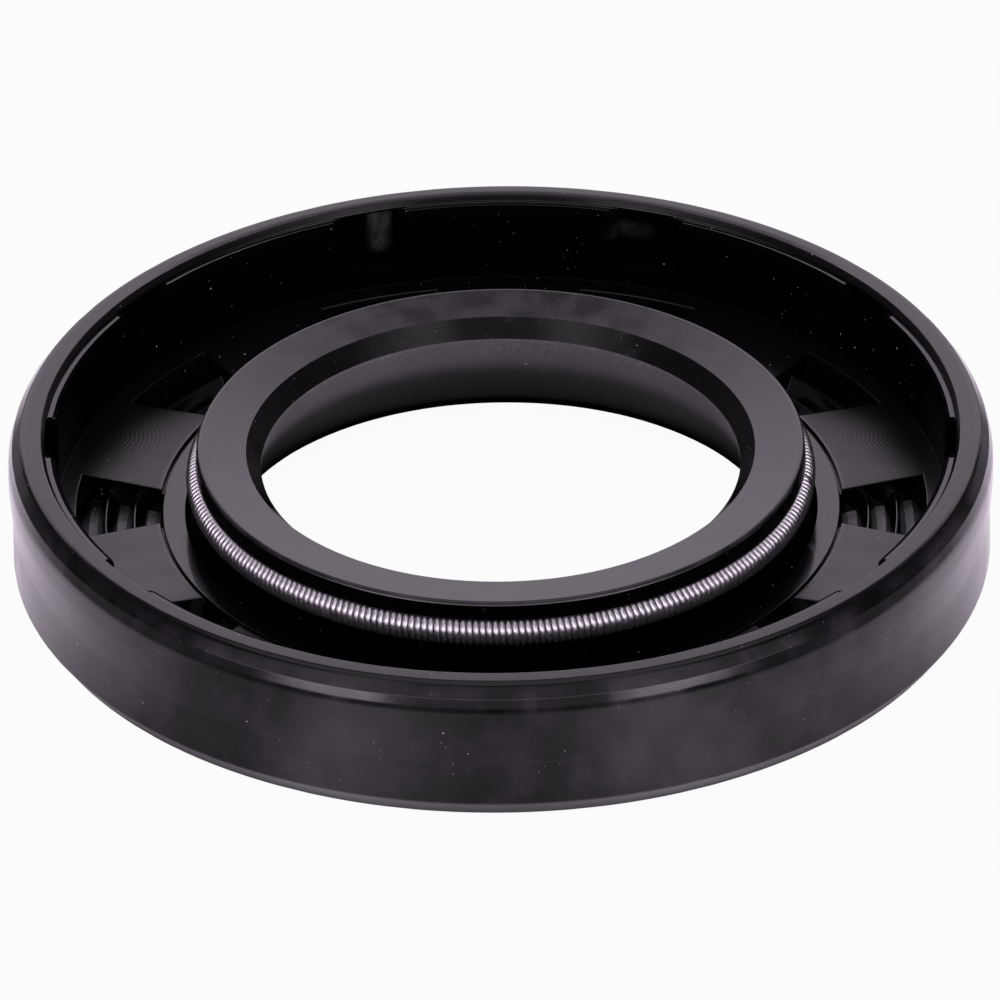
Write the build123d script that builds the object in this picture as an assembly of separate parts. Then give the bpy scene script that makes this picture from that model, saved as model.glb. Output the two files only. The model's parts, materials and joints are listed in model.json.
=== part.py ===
from build123d import *
import math
import os

# Rubber-covered rotary shaft seal, 32 x 62 x 10 mm, with one sprung lip and no dust lip.
#
# The axis is Z. The flat back face on the air side lies at Z = 0 and the spring side looks up.
# Each section is drawn as (radius, height) in the XZ plane and revolved about Z.
# Radii are built inwards from the guide cylinder and outwards from the sealing edge, and
# heights upwards from the back face. Lengths are millimetres and angles are degrees.

# Mating sizes
GUIDE_D = 62.0  # guide cylinder, the nominal housing bore
LIP_D = 30.42  # free diameter of the sealing edge, for a 32 mm shaft
WIDTH = 9.8  # back face to rim

# Outer cover, from the back face up
LEAD_DEPTH = 0.87  # radial size of the lead-in chamfer at the back face
LEAD_HEIGHT = 1.17  # axial size of the same chamfer
PRESS_GRIP = 0.25  # radial height of the press land above the guide cylinder
LAND_RAMP = 2.7  # height of the taper between the guide cylinder and the land
LAND_LENGTH = 1.4  # height of the press land
LAND_DROP = 1.5  # top of the land below the rim
CREST_INSET = 0.12  # radial step back from the land to the crest of the rim chamfer
RIM_CHAMFER = 0.75  # 45 degree chamfer round the rim

# Steel case: an L-shaped ring, wall outside and flange below
CASE_T = 1.0  # sheet thickness
CASE_COVER = 0.8  # rubber outside the wall and under the flange
CASE_TOP_COVER = 0.9  # rubber above the wall, up to the rim
CASE_BEND = 0.6  # flat across the outside of the bend
FLANGE_COVER = 1.7  # rubber between the flange and the shaft opening

# Inner wall, floor and collar
NOTCH_SKIN = 0.27  # rubber left over the case wall behind a notch
RIM_BEVEL = 0.27  # radial size of the bevel from the rim down to the ledge
LEDGE_DROP = 0.45  # ledge below the rim
LEDGE_WIDTH = 0.68  # ledge with its rounding
LEDGE_ROUND = 0.36  # rounding into the inner wall
WALL_DRAFT = 0.05  # radial slope of the inner wall over its height
FLOOR_T = 4.25  # back face to the top of the pads
COLLAR_WIDTH = 1.5  # flat collar round the foot of the lip
COLLAR_GAP = 1.0  # coil centre to the inner edge of the collar
COLLAR_STEP = 0.05  # collar below the pads
SPLIT_WIDTH = 0.2  # narrow groove between the collar and the pads
SPLIT_DEPTH = 0.35

# Lip: sealing edge, head, neck and the opening for the shaft
LIP_RISE = 3.2  # sealing edge above the pads
LIP_BAND = 0.2  # height of the blunt band on the sealing edge
OIL_BEVEL_RUN = 0.95  # radial size of the bevel on the oil side
OIL_BEVEL_RISE = 1.09  # axial size of the same bevel
HEAD_CROWN = 0.31  # rise of the head's top face towards its outer edge
HEAD_OVERHANG = 0.18  # coil centre to the outer edge of the head
HEAD_CHAMFER = 0.2  # broken corner of that edge
NECK_DEPTH = 0.7  # coil centre to the root of the neck
NECK_ROOT = 0.4  # height of the root
AIR_ANGLE = 21.0  # slope of the air side from the axis
MOUTH_HEIGHT = 1.3  # height at which the opening starts to flare
MOUTH_FLARE = 0.75  # radial size of the flare

# Garter spring and its groove
COIL_STANDOFF = 3.79  # sealing edge to the coil centre, on the radius
COIL_DROP = 0.8  # coil centre below the sealing edge
COIL_D = 1.96  # outside diameter of the wound coil
COIL_SIDES = 10  # flats that stand for the round of the coil
WIRE_D = 0.4  # wire, and so the wall of the close-wound coil
COIL_CLEARANCE = 0.02  # between the coil and its groove
GROOVE_SIDES = 8  # flats that stand for the round of the groove
UPPER_HORN = 67.0  # angle of the groove's upper edge above the horizontal
LOWER_HORN = 79.0  # angle of its lower edge below the horizontal

# Ribbed pockets in the floor and the notches above them
POCKET_COUNT = 10
POCKET_START = -1.45  # angle of the first pocket from +X
POCKET_MOUTH = 4.0  # width of a pocket at the collar
POCKET_FLARE = 19.8  # angle of each straight side from the pocket's centre line
POCKET_SKIN = 0.65  # rubber left over the case flange
POCKET_MARGIN = 1.2  # pocket to the foot of the inner wall
POCKET_END = 0.8  # radial run of the slope at the outer end
RIB_PITCH = 1.82
RIB_HEIGHT = 1.1
RIB_RISE = 0.75  # radial run of a rib's inward flank
RIB_FALL = 0.52  # radial run of its outward flank and of the collar's
NOTCH_WIDTH = 3.8
NOTCH_FOOT = 1.45  # lower end of a notch above the pads
NOTCH_RAMP = 0.4  # height of the slope at its lower end

CUTTER_REACH = 1.0  # how far a cutter runs past the surface that it opens

# Radii inwards from the guide cylinder
guide_r = GUIDE_D / 2
land_r = guide_r + PRESS_GRIP
crest_r = land_r - CREST_INSET
rim_out_r = crest_r - RIM_CHAMFER
case_out_r = guide_r - CASE_COVER
case_in_r = case_out_r - CASE_T
ledge_out_r = case_in_r - NOTCH_SKIN
rim_in_r = ledge_out_r + RIM_BEVEL
ledge_in_r = ledge_out_r - LEDGE_WIDTH
floor_out_r = ledge_in_r - WALL_DRAFT

# Radii outwards from the sealing edge
lip_r = LIP_D / 2
coil_r = lip_r + COIL_STANDOFF
neck_r = coil_r - NECK_DEPTH
collar_in_r = coil_r + COLLAR_GAP
collar_out_r = collar_in_r + COLLAR_WIDTH
pocket_out_r = floor_out_r - POCKET_MARGIN

# Heights
land_top_z = WIDTH - LAND_DROP
land_foot_z = land_top_z - LAND_LENGTH
guide_top_z = land_foot_z - LAND_RAMP
ledge_z = WIDTH - LEDGE_DROP
collar_z = FLOOR_T - COLLAR_STEP
lip_z = FLOOR_T + LIP_RISE
band_z = lip_z - LIP_BAND
coil_z = lip_z - COIL_DROP
bevel_z = lip_z + OIL_BEVEL_RISE
flange_top_z = CASE_COVER + CASE_T
valley_z = flange_top_z + POCKET_SKIN

# Groove of the garter spring: each flat touches the clearance circle at its middle
groove_step = (360.0 - UPPER_HORN - LOWER_HORN) / GROOVE_SIDES
groove_r = (COIL_D / 2 + COIL_CLEARANCE) / math.cos(math.radians(groove_step / 2))

# Opening for the shaft
throat_r = lip_r + (band_z - MOUTH_HEIGHT) * math.tan(math.radians(AIR_ANGLE))
mouth_r = throat_r + MOUTH_FLARE


def section(corners):
    """Closed face in the XZ plane from (radius, height) corners; a third value rounds one."""
    points = [corner[:2] for corner in corners]
    roundings = [corner[2] if len(corner) == 3 else 0 for corner in corners]
    return make_face(Plane.XZ * FilletPolyline(*points, radius=roundings, close=True))


def ring(corners):
    """Solid of revolution of a section about the seal's axis."""
    return revolve(section(corners), Axis.Z)


def cover_corners():
    """Outside of the moulding, from the back face up over the rim to the ledge."""
    return [
        (mouth_r, 0),
        (guide_r - LEAD_DEPTH, 0),
        (guide_r, LEAD_HEIGHT),
        (guide_r, guide_top_z),
        (land_r, land_foot_z),
        (land_r, land_top_z),
        (crest_r, WIDTH - RIM_CHAMFER),
        (rim_out_r, WIDTH),
        (rim_in_r, WIDTH),
        (ledge_out_r, ledge_z),
        (ledge_in_r, ledge_z, LEDGE_ROUND),
    ]


def floor_corners():
    """Floor of the trough, from the foot of the inner wall in to the root of the neck."""
    groove_foot_z = groove_corners()[0][1]
    neck_z = (collar_z + groove_foot_z) / 2
    return [
        (floor_out_r, FLOOR_T),
        (collar_out_r + SPLIT_WIDTH, FLOOR_T),
        (collar_out_r + SPLIT_WIDTH, FLOOR_T - SPLIT_DEPTH),
        (collar_out_r, FLOOR_T - SPLIT_DEPTH),
        (collar_out_r, collar_z),
        (collar_in_r, collar_z),
        (neck_r, neck_z - NECK_ROOT / 2),
        (neck_r, neck_z + NECK_ROOT / 2),
    ]


def groove_corners():
    """Seat of the coil, from its lower edge round the inner side up to its upper edge."""
    angles = [math.radians(-LOWER_HORN - side * groove_step) for side in range(GROOVE_SIDES + 1)]
    return [(coil_r + groove_r * math.cos(a), coil_z + groove_r * math.sin(a)) for a in angles]


def lip_corners():
    """Head of the lip over the spring, then the sealing edge and the air side."""
    head_r = coil_r + HEAD_OVERHANG
    head_z = bevel_z + HEAD_CROWN
    return [
        (head_r, head_z - HEAD_CHAMFER),
        (head_r - HEAD_CHAMFER, head_z),
        (lip_r + OIL_BEVEL_RUN, bevel_z),
        (lip_r, lip_z),
        (lip_r, band_z),
        (throat_r, MOUTH_HEIGHT),
    ]


def polar_copies(cutter):
    """One copy of a cutter at each pocket's angle."""
    places = PolarLocations(0, POCKET_COUNT, start_angle=POCKET_START)
    return [place * cutter for place in places]


def pocket_section():
    """Comb of valleys and concentric ribs between the collar and the outer end slope."""
    rib_zone = pocket_out_r - POCKET_END - collar_out_r
    rib_count = math.floor(rib_zone / RIB_PITCH)
    top_z = FLOOR_T + CUTTER_REACH
    corners = [
        (collar_out_r, top_z),
        (collar_out_r, collar_z),
        (collar_out_r + RIB_FALL, valley_z),
    ]
    for number in range(1, rib_count + 1):
        rib_r = collar_out_r + number * RIB_PITCH
        corners.append((rib_r - RIB_RISE, valley_z))
        corners.append((rib_r, valley_z + RIB_HEIGHT))
        corners.append((rib_r + RIB_FALL, valley_z))
    corners.append((pocket_out_r - POCKET_END, valley_z))
    corners.append((pocket_out_r, FLOOR_T))
    corners.append((pocket_out_r, top_z))
    return corners


def pocket_cutter():
    """Ribbed pocket on the +X axis, its straight sides flaring outwards from the collar."""
    inner_r = collar_out_r - CUTTER_REACH
    outer_r = pocket_out_r + CUTTER_REACH
    slope = math.tan(math.radians(POCKET_FLARE))
    inner_half = POCKET_MOUTH / 2 - slope * CUTTER_REACH
    outer_half = POCKET_MOUTH / 2 + slope * (outer_r - collar_out_r)
    outline = Polyline(
        (inner_r, -inner_half),
        (outer_r, -outer_half),
        (outer_r, outer_half),
        (inner_r, inner_half),
        close=True,
    )
    wedge = extrude(make_face(outline), WIDTH)
    return ring(pocket_section()) & wedge


def notch_cutter():
    """Notch on the +X axis that clears the ledge and thins the wall below it."""
    foot_z = FLOOR_T + NOTCH_FOOT
    inner_r = floor_out_r - CUTTER_REACH
    top_z = WIDTH + CUTTER_REACH
    recess = ring(
        [
            (inner_r, foot_z),
            (floor_out_r, foot_z),
            (ledge_out_r, foot_z + NOTCH_RAMP),
            (ledge_out_r, top_z),
            (inner_r, top_z),
        ]
    )
    slot = Pos(guide_r / 2, 0, 0) * Box(
        guide_r, NOTCH_WIDTH, top_z, align=(Align.CENTER, Align.CENTER, Align.MIN)
    )
    return recess & slot


def make_case_ring():
    """Pressed steel stiffener: a wall, a bend and a flange, of one sheet thickness."""
    flange_in_r = throat_r + FLANGE_COVER
    top_z = WIDTH - CASE_TOP_COVER
    return ring(
        [
            (flange_in_r, CASE_COVER),
            (case_out_r - CASE_BEND, CASE_COVER),
            (case_out_r, CASE_COVER + CASE_BEND),
            (case_out_r, top_z),
            (case_in_r, top_z),
            (case_in_r, flange_top_z),
            (flange_in_r, flange_top_z),
        ]
    )


def make_rubber_body(case_ring):
    """The whole moulding, bonded face to face round the case."""
    moulding = ring(cover_corners() + floor_corners() + groove_corners() + lip_corners())
    moulding -= polar_copies(pocket_cutter())
    moulding -= polar_copies(notch_cutter())
    return moulding - case_ring


def make_garter_spring():
    """Close-wound coil joined into a ring: a tube whose wall is one wire thick."""
    outside = RegularPolygon(COIL_D / 2, COIL_SIDES)
    bore = RegularPolygon(COIL_D / 2 - WIRE_D, COIL_SIDES)
    centre = Plane.XZ * Pos(coil_r, coil_z)
    return revolve(centre * outside, Axis.Z) - revolve(centre * bore, Axis.Z)


os.makedirs("parts", exist_ok=True)

case = make_case_ring()
export_step(case, "parts/case_ring.step")
export_step(make_rubber_body(case), "parts/rubber_body.step")
export_step(make_garter_spring(), "parts/garter_spring.step")
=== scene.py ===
"""Rubber-covered rotary shaft seal, dressed over its CAD frame and stood on a pale floor.

The file is laid out as an add-on and is run as a script. Lengths are metres, and every piece
is in the frame of the CAD part: the shaft's axis is Z, the back face lies at Z = 0 and the
spring side looks up. Sections are (radius, height) arrays that run round the moulding.
"""

import json
import math

import bpy
import numpy as np
from mathutils import Euler, Matrix, Vector


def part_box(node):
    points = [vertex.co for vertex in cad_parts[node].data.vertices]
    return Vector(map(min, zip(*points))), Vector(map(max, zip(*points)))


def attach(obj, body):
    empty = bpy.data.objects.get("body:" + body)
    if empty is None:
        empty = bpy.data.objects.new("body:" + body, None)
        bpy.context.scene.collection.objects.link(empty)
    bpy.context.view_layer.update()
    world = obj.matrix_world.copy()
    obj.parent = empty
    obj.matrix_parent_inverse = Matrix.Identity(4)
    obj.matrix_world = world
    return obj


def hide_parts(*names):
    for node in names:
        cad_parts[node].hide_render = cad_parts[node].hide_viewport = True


bl_info = {
    "name": "Shaft Seal",
    "version": (1, 0, 0),
    "blender": (4, 5, 0),
    "location": "View3D > Sidebar > Shaft Seal",
    "description": "Dresses a rubber-covered rotary shaft seal over its CAD frame",
    "category": "Object",
}

MM = 0.001
FULL_TURN = 2 * math.pi
WHITE = (1.0, 1.0, 1.0)

# Loose dust: its roughness, its least amount outside the patches, the least square of a
# speck's random size, the share of a speck that is solid, and the fine specks' own shift
DUST_ROUGHNESS = 0.9
SPARSE = 0.10
SMALLEST_SPECK = 0.25
SPECK_CORE = 0.4
FINE_SEED = 7

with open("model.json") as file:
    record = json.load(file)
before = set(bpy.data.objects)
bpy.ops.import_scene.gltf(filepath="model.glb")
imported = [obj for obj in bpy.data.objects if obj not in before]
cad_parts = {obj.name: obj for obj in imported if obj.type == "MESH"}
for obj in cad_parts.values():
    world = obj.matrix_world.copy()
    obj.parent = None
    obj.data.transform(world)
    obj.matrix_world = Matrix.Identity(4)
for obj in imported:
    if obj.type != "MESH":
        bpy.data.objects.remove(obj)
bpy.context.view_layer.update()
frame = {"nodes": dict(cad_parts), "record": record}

# Sizes that the frame already holds
BODY_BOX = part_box("rubber_body")
CASE_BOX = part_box("case_ring")
SPRING_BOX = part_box("garter_spring")
MOUNTS = {mount["name"]: mount for mount in frame["record"]["mounts"]}
LAND_R = BODY_BOX[1].x
WIDTH = BODY_BOX[1].z
CASE_R = CASE_BOX[1].x
COIL_OUTER_R = SPRING_BOX[1].x
COIL_Z = (SPRING_BOX[0].z + SPRING_BOX[1].z) / 2
LIP_R = MOUNTS["shaft_lip"]["dims"]["r_mm"] * MM


def length(name, description, millimetres):
    """Property for one length."""
    return bpy.props.FloatProperty(
        name=name,
        description=description,
        default=millimetres * MM,
        min=0.0,
        precision=5,
        subtype="DISTANCE",
        unit="LENGTH",
    )


def angle(name, description, degrees):
    """Property for one angle."""
    return bpy.props.FloatProperty(
        name=name,
        description=description,
        default=math.radians(degrees),
        subtype="ANGLE",
        unit="ROTATION",
    )


def share(name, description, default, top=1.0):
    """Property for a plain number between zero and a top value."""
    return bpy.props.FloatProperty(
        name=name, description=description, default=default, min=0.0, max=top
    )


def number(name, description, default):
    """Property for a whole number of copies or steps."""
    return bpy.props.IntProperty(name=name, description=description, default=default, min=1)


def colour(name, description, default):
    """Property for a linear colour."""
    return bpy.props.FloatVectorProperty(
        name=name,
        description=description,
        default=default,
        min=0.0,
        size=3,
        subtype="COLOR",
    )


class CoverSizes(bpy.types.PropertyGroup):
    """Outside of the moulding, from the back face up over the rim."""

    lead_depth: length("Lead depth", "Radial size of the lead-in chamfer", 0.87)
    lead_height: length("Lead height", "Axial size of the lead-in chamfer", 1.17)
    press_grip: length("Press grip", "Press land above the guide cylinder", 0.25)
    land_ramp: length("Land ramp", "Height of the taper below the press land", 2.7)
    land_length: length("Land length", "Height of the press land", 1.2)
    land_drop: length("Land drop", "Top of the press land below the rim", 1.7)
    land_blend: length("Land blend", "Radius that blends the taper into its neighbours", 9.0)
    land_shoulder: length("Land shoulder", "Rounding at the top of the press land", 2.0)
    crest_inset: length("Crest inset", "Step back from the land to the crest", 0.25)
    rim_chamfer_run: length("Rim chamfer run", "Radial size of the chamfer", 0.62)
    rim_chamfer_drop: length("Rim chamfer drop", "Axial size of the chamfer", 0.9)
    rim_round: length("Rim round", "Rounding between the rim and its chamfer", 0.6)
    crest_round: length("Crest round", "Rounding at the foot of that chamfer", 0.12)
    rim_fall: length("Rim fall", "Outward fall of the rim's face", 0.025)
    soft_edge: length("Soft edge", "Rounding of the blunt edges", 0.25)
    crisp_edge: length("Crisp edge", "Rounding of the crisp edges", 0.05)


class TroughSizes(bpy.types.PropertyGroup):
    """Inner wall, floor, collar and the pockets and notches in them."""

    wall_set_back: length("Wall set-back", "Case wall to the outer edge of the ledge", 1.27)
    rim_bevel_run: length("Rim bevel run", "Radial size of the bevel inside the rim", 0.27)
    rim_bevel_drop: length("Rim bevel drop", "Axial size of the same bevel", 0.3)
    rim_edge: length("Rim edge", "Rounding between the rim and its bevel", 0.15)
    ledge_drop: length("Ledge drop", "Ledge below the rim", 0.45)
    ledge_width: length("Ledge width", "Ledge to the wall below it", 0.68)
    ledge_round: length("Ledge round", "Rounding of the ledge's inner edge", 0.36)
    ledge_corner: length("Ledge corner", "Rounding of a ledge's ends beside the notches", 0.55)
    wall_draft: length("Wall draft", "Slope of the inner wall over its height", 0.05)
    floor_height: length("Floor height", "Back face to the top of the pads", 4.25)
    floor_fillet: length("Floor fillet", "Rounding at the foot of the inner wall", 0.02)
    collar_width: length("Collar width", "Flat collar round the foot of the lip", 1.5)
    collar_gap: length("Collar gap", "Coil centre to the collar", 1.0)
    collar_step: length("Collar step", "Collar below the pads", 0.05)
    collar_edge: length("Collar edge", "Rounding of the collar's inner edge", 0.12)
    split_width: length("Split width", "Groove between the collar and the pads", 0.2)
    split_depth: length("Split depth", "Depth of the same groove", 0.35)
    pocket_count: number("Pockets", "Number of pockets round the floor", 10)
    pocket_start: angle("First pocket", "Angle of the first pocket from X", -1.45)
    pocket_mouth: length("Pocket mouth", "Width of a pocket at the collar", 4.0)
    pocket_flare: angle("Pocket flare", "Angle of a side from the centre line", 19.8)
    pocket_depth: length("Pocket depth", "Pads to the valleys between the ribs", 1.8)
    pocket_margin: length("Pocket margin", "Pocket to the foot of the inner wall", 1.2)
    pocket_end: length("Pocket end", "Run of the slope at the outer end", 0.8)
    rib_pitch: length("Rib pitch", "Spacing of the ribs", 1.82)
    rib_height: length("Rib height", "Ribs above the valleys", 1.1)
    rib_rise: length("Rib rise", "Run of a rib's inward flank", 0.75)
    rib_fall: length("Rib fall", "Run of a rib's outward flank", 0.52)
    rib_edge: length("Rib edge", "Rounding of the crests and valleys", 0.1)
    pad_edge: length("Pad edge", "Rounding along the sides of a pad", 0.07)
    notch_width: length("Notch width", "Width of a gap in the ledge", 3.8)
    notch_foot: length("Notch foot", "Lower end of a notch above the pads", 1.45)
    notch_ramp: length("Notch ramp", "Height of the slope at its lower end", 0.4)


class LipSizes(bpy.types.PropertyGroup):
    """Flexing lip, from the neck over the head to the air side."""

    lip_rise: length("Lip rise", "Sealing edge above the pads", 3.2)
    lip_band: length("Lip band", "Blunt band on the sealing edge", 0.2)
    bevel_run: length("Bevel run", "Radial size of the oil-side bevel", 0.95)
    bevel_rise: length("Bevel rise", "Axial size of the oil-side bevel", 1.09)
    head_crown: length("Head crown", "Rise of the head towards its outer edge", 0.31)
    head_overhang: length("Head overhang", "Coil centre to the outer edge", 0.28)
    head_round: length("Head round", "Rounding of the head's outer edge", 0.3)
    neck_depth: length("Neck depth", "Coil centre to the root of the neck", 0.7)
    neck_sink: length("Neck sink", "Gap round the neck, below the collar", 0.7)
    neck_round: length("Neck round", "Rounding at the root of the neck", 0.3)
    air_angle: angle("Air angle", "Slope of the air side from the axis", 21.0)
    mouth_height: length("Mouth height", "Height at which the opening flares", 1.3)
    mouth_flare: length("Mouth flare", "Radial size of the flare", 2.2)
    mouth_round: length("Mouth round", "Rounding where the flare starts", 2.0)
    groove_clearance: length("Groove clearance", "Between the coil and its groove", 0.02)
    upper_horn: angle("Upper horn", "Upper edge of the groove above the coil", 67.0)
    lower_horn: angle("Lower horn", "Lower edge of the groove below the coil", 79.0)


class SpringSizes(bpy.types.PropertyGroup):
    """Garter spring: wire wound into a coil that is joined into a ring."""

    coil_diameter: length("Coil diameter", "Outside of the wound coil", 1.96)
    wire_diameter: length("Wire diameter", "Drawn wire", 0.39)
    pitch: length("Pitch", "Spacing of the turns along the ring", 0.402)
    join_angle: angle("Join angle", "Where the two ends meet, from X", -5.9)
    join_gap: length("Join gap", "Opening between the two end turns", 0.22)
    steel: colour("Steel", "Colour of the wire", (0.86, 0.85, 0.87))
    roughness: share("Roughness", "Roughness of the drawn wire", 0.32)


class RubberFinish(bpy.types.PropertyGroup):
    """Looks of the moulded elastomer."""

    black: colour("Black", "Colour of the clean moulded skin", (0.0012, 0.0008, 0.0015))
    film: colour("Film", "Colour of the dull film on worn faces", (0.022, 0.019, 0.024))
    dust: colour("Dust", "Colour of loose dust", (0.55, 0.54, 0.56))
    gloss: share("Gloss roughness", "Roughness of the moulded skin", 0.13)
    index: share("Index", "Index of refraction of the skin", 1.48, 3.0)
    head_index: share("Head index", "Refractive index of the trimmed head", 1.6, 3.0)
    ring_centre: length("Ring centre", "Middle of the cutter's rings, from the axis", 27.5)
    tool_pitch: length("Tool pitch", "Spacing of the rings that the cutter left", 0.28)
    ring_height: length("Ring height", "Depth of those rings", 0.0045)
    ripple_pitch: length("Ripple pitch", "Spacing of the slow ripple on a pad", 3.4)
    ripple_height: length("Ripple height", "Depth of the same ripple", 0.009)
    rim_sag: length("Rim sag", "Inward lean of one stretch of the rim", 0.05)
    head_dish: length("Head dish", "Inward lean of one stretch of the head", 0.14)


class StageLook(bpy.types.PropertyGroup):
    """Floor, surroundings, lamps and camera."""

    floor: colour("Floor", "Colour of the floor", (0.66, 0.65, 0.68))
    floor_mirrored: share("Mirrored floor", "Brightness of the floor in the rubber", 1.25, 2.0)
    screen: share("Screen", "Brightness of the screen behind the seal", 1.1, 4.0)
    screen_half: angle("Screen half-width", "Either side of straight behind", 34.0)
    screen_top: angle("Screen top", "Upper edge of the screen", 39.6)
    side: share("Sides", "Brightness of the room to both sides", 0.08, 4.0)
    front: share("Front", "Brightness of the wall in front", 0.6, 4.0)
    ceiling: share("Ceiling", "Brightness overhead", 0.7, 4.0)
    box: share("Soft box", "Brightness of each soft box, high up", 1.1, 9.0)
    box_half: angle("Soft box half-width", "Either side of its middle", 7.5)
    box_low: angle("Soft box foot", "Lower edge of each soft box", -8.0)
    box_high: angle("Soft box head", "Upper edge of each soft box", 56.0)
    ambient: share("Ambient", "Brightness of the surroundings as a light", 0.65, 4.0)
    tint: colour("Tint", "Tint of the surroundings", (1.0, 0.89, 1.03))
    lamp_watts: share("Lamp power", "Power of each soft box", 0.6, 1000.0)
    lamp_size: length("Lamp size", "Side of each square soft box", 300.0)
    lamp_reach: length("Lamp distance", "From the seal to each soft box", 700.0)
    lamp_turn: angle("Lamp turn", "Soft box from straight behind", 141.0)
    lamp_height: angle("Lamp elevation", "Soft box above the floor's plane", 50.0)
    camera_distance: length("Camera distance", "From the seal to the camera", 2750.0)
    camera_height: angle("Camera elevation", "Camera above the floor's plane", 31.403)
    camera_roll: angle("Camera roll", "Turn of the camera about its view", -0.769)
    aim_side: bpy.props.FloatProperty(
        name="Aim sideways",
        description="Point that the camera looks at, along X",
        default=-0.077 * MM,
        precision=6,
        unit="LENGTH",
    )
    aim_height: length("Aim height", "Point that the camera looks at, along Z", 4.70)
    image_scale: share("Image scale", "Image widths that a metre at the seal fills", 15.755, 99.0)


# Sections and surfaces


def radians(*degrees):
    """Degrees as a list of radians."""
    return [math.radians(value) for value in degrees]


def rounded(corners, steps=5):
    """Polyline through (radius, height) corners, where a third value rounds the corner.

    A rounded corner becomes steps + 1 points on the arc that touches both of its sides.
    """
    points = np.array([corner[:2] for corner in corners], float)
    path = [points[:1]]
    for here, corner in zip(range(1, len(points) - 1), corners[1:-1]):
        radius = corner[2] if len(corner) == 3 else 0.0
        if radius == 0.0:
            path.append(points[here : here + 1])
            continue
        back = points[here - 1] - points[here]
        ahead = points[here + 1] - points[here]
        back /= np.linalg.norm(back)
        ahead /= np.linalg.norm(ahead)
        half = math.acos(np.clip(back @ ahead, -1, 1)) / 2
        bisector = (back + ahead) / np.linalg.norm(back + ahead)
        centre = points[here] + bisector * radius / math.sin(half)
        first = points[here] + back * radius / math.tan(half) - centre
        last = points[here] + ahead * radius / math.tan(half) - centre
        sweep = math.pi - 2 * half
        t = np.linspace(0, 1, steps + 1)[:, None]
        arc = (np.sin((1 - t) * sweep) * first + np.sin(t * sweep) * last) / math.sin(sweep)
        path.append(centre + arc)
    path.append(points[-1:])
    return np.concatenate(path)


def turned(vectors, turn):
    """Vectors turned about Z by their own angles."""
    cosine, sine = np.cos(turn), np.sin(turn)
    x = vectors[..., 0] * cosine - vectors[..., 1] * sine
    y = vectors[..., 0] * sine + vectors[..., 1] * cosine
    return np.stack([x, y, vectors[..., 2]], -1)


def grid_mesh(name, points, wraps_round=True, about_axis=False):
    """Mesh of a closed surface from a (rings, ring points, 3) grid.

    Each ring closes on itself, and the last ring joins the first where wraps_round is true.
    Quads take their corners in the order (i, j), (i, j + 1), (i + 1, j + 1), (i + 1, j).
    Smooth normals are the sums of the quads' area vectors, so that wide faces stay flat
    beside the narrow roundings between them. About the axis, each area vector is first
    turned from the middle of its quad to the corner, so that wide quads stay round.
    """
    rings, count = points.shape[:2]
    index = np.arange(rings * count).reshape(rings, count)
    after = np.roll(index, -1, axis=0)
    quads = np.stack([index, np.roll(index, -1, 1), np.roll(after, -1, 1), after], axis=-1)
    area = np.cross(
        np.roll(points, (-1, -1), (0, 1)) - points,
        np.roll(points, -1, 0) - np.roll(points, -1, 1),
    )
    if not wraps_round:
        quads = quads[:-1]
        area[-1] = 0.0
    if about_axis:
        middle = points + np.roll(points, (-1, -1), (0, 1))
        middle += np.roll(points, -1, 0) + np.roll(points, -1, 1)
        area = turned(area, -np.arctan2(middle[..., 1], middle[..., 0]))
    normals = area + np.roll(area, 1, 0) + np.roll(area, 1, 1) + np.roll(area, (1, 1), (0, 1))
    if about_axis:
        normals = turned(normals, np.arctan2(points[..., 1], points[..., 0]))
    quads = quads.reshape(-1, 4)
    mesh = bpy.data.meshes.new(name)
    mesh.vertices.add(rings * count)
    mesh.vertices.foreach_set("co", points.ravel())
    mesh.loops.add(quads.size)
    mesh.loops.foreach_set("vertex_index", quads.ravel())
    mesh.polygons.add(len(quads))
    mesh.polygons.foreach_set("loop_start", np.arange(0, quads.size, 4))
    mesh.polygons.foreach_set("use_smooth", np.ones(len(quads), bool))
    mesh.update()
    least = 1e-30
    lengths = np.linalg.norm(normals, axis=-1, keepdims=True)
    normals = (normals / np.maximum(lengths, least)).reshape(-1, 3)
    mesh.normals_split_custom_set_from_vertices(normals.tolist())
    return mesh


def add_piece(name, mesh, node, materials):
    """Object for a new piece that rides on the body and stands for a CAD node."""
    piece = bpy.data.objects.new(name, mesh)
    bpy.context.scene.collection.objects.link(piece)
    for material in materials:
        mesh.materials.append(material)
    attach(piece, "root")
    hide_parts(node)
    return piece


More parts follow.
